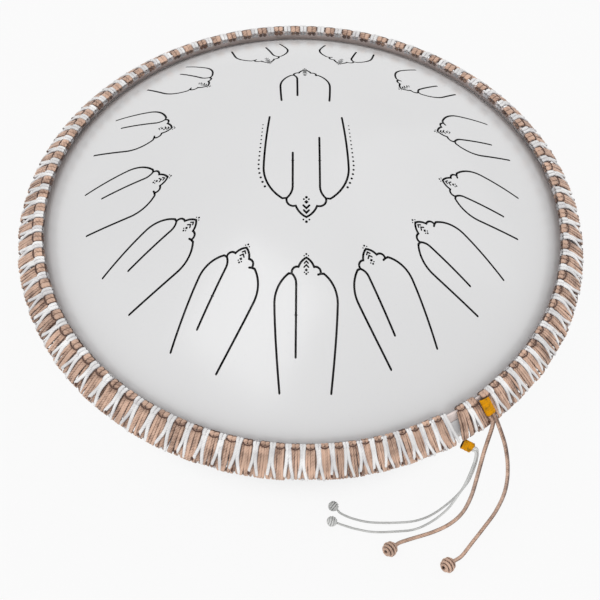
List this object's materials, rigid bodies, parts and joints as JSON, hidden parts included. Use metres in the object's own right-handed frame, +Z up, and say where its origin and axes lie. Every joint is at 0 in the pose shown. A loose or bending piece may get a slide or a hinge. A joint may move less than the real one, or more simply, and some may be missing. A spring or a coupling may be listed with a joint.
{
  "type": "steel tongue drum",
  "caption": "Domed steel tongue drum with laser-cut petal tongues, a bowl-shaped bottom on rubber feet and a knotted tan and white cord fringe round its rim, with loose cord ends in ball knots",
  "frame": {"origin": "centre of the floor under the drum, on the plane of the four feet", "axes": "+Z up through the crown of the dome; the longest tongue of the outer ring points along -Y, the player's side; +X to the player's right"},
  "size_m": [0.374, 0.3928, 0.1722],
  "materials": {
    "white_powder_coat": "satin white powder coat",
    "grey_powder_coat": "satin light grey powder coat",
    "taupe_band": "smooth taupe rubber band",
    "tan_cord": "waxed flat tan cord",
    "white_cord": "white cotton cord",
    "amber_tape": "amber tape wrap",
    "black_rubber": "matt black rubber"
  },
  "bodies": {
    "root": {"top_shell": "white_powder_coat", "bottom_shell": "grey_powder_coat", "rim_ring": "grey_powder_coat", "rim_band": "taupe_band", "tan_cord_cover": "tan_cord", "white_cord_cover": "white_cord", "upper_wrap": "amber_tape", "lower_wrap": "amber_tape", "left_tan_tail": "tan_cord", "right_tan_tail": "tan_cord", "left_tan_knot": "tan_cord", "right_tan_knot": "tan_cord", "upper_white_tail": "white_cord", "lower_white_tail": "white_cord", "upper_white_knot": "white_cord", "lower_white_knot": "white_cord", "rubber_foot_1": "black_rubber", "rubber_foot_2": "black_rubber", "rubber_foot_3": "black_rubber", "rubber_foot_4": "black_rubber"}
  },
  "joints": []
}
